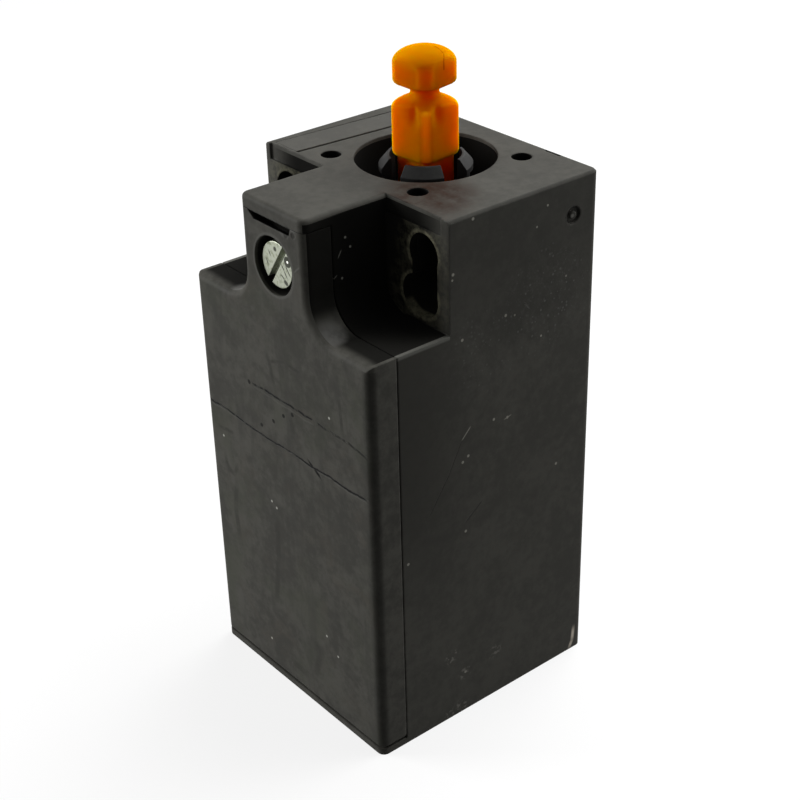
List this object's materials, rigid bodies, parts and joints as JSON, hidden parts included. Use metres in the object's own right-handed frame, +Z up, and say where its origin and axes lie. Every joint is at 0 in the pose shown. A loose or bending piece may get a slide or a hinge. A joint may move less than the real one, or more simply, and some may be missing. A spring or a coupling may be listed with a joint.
{
  "type": "door position switch",
  "caption": "Compact insulated position switch with a sprung plunger in a head seat, an opening front cover, snap-in contact block and a bottom cable entry.",
  "frame": {"origin": "middle of the base's underside, on the cable entry's axis", "axes": "+X to the right as the cover is faced, +Y towards the mounting face at the back, +Z up along the plunger"},
  "size_m": [0.031, 0.0318, 0.0751],
  "materials": {
    "black_plastic": "satin moulded, lightly scuffed",
    "orange_plastic": "satin moulded",
    "grey_plastic": "satin moulded",
    "ivory_plastic": "matt moulded",
    "white_plastic": "satin moulded",
    "rubber": "matt",
    "plated_steel": "zinc plated, scratched",
    "spring_steel": "drawn wire",
    "brass": "turned",
    "tinned_brass": "stamped and plated",
    "copper": "stamped",
    "silver": "satin rivet"
  },
  "bodies": {
    "base": {"housing": "black_plastic", "top_strip": "black_plastic", "screw_insert": "brass", "plunger_guide": "grey_plastic", "plunger_seal": "rubber", "contact_base": "ivory_plastic", "contact_lid": "ivory_plastic", "return_spring": "spring_steel", "nc_terminal_right": "tinned_brass", "nc_terminal_left": "tinned_brass", "no_terminal_right": "tinned_brass", "no_terminal_left": "tinned_brass", "fixed_tips": "silver", "terminal_screws": "plated_steel", "clamp_plates": "plated_steel"},
    "plunger": {"plunger": "orange_plastic", "contact_carrier": "white_plastic", "nc_spring": "spring_steel", "no_spring": "spring_steel"},
    "nc_bridge": {"nc_bridge": "copper", "nc_bridge_tips": "silver"},
    "no_bridge": {"no_bridge": "copper", "no_bridge_tips": "silver"},
    "cover": {"front_cover": "black_plastic", "cover_gasket": "rubber"},
    "cover_screw": {"cover_screw": "plated_steel", "screw_washer": "white_plastic"}
  },
  "joints": [
    {"name": "plunger_slide", "type": "slide", "parent": "base", "child": "plunger", "axis": [0, 0, -1], "range_m": [0, 0.005], "stiffness_N_per_m": 800, "deforming": ["return_spring"]},
    {"name": "nc_bridge_slide", "type": "slide", "parent": "plunger", "child": "nc_bridge", "axis": [0, 0, 1], "range_m": [0, 0.001], "deforming": ["nc_spring"]},
    {"name": "no_bridge_slide", "type": "slide", "parent": "plunger", "child": "no_bridge", "axis": [0, 0, 1], "range_m": [0, 0.0014], "deforming": ["no_spring"]},
    {"name": "cover_hinge", "type": "hinge", "parent": "base", "child": "cover", "pos_m": [0, -0.0156, 0.0012], "axis": [1, 0, 0], "range_deg": [0, 85]},
    {"name": "cover_screw_turn", "type": "hinge", "parent": "cover", "child": "cover_screw", "pos_m": [0, -0.0154, 0.05615], "axis": [0, -1, 0], "range_deg": [0, 1260]}
  ],
  "couplings": [
    {"joint": "nc_bridge_slide", "follows": "plunger_slide", "ratio": 0.2},
    {"joint": "no_bridge_slide", "follows": "plunger_slide", "ratio": 0.28}
  ]
}
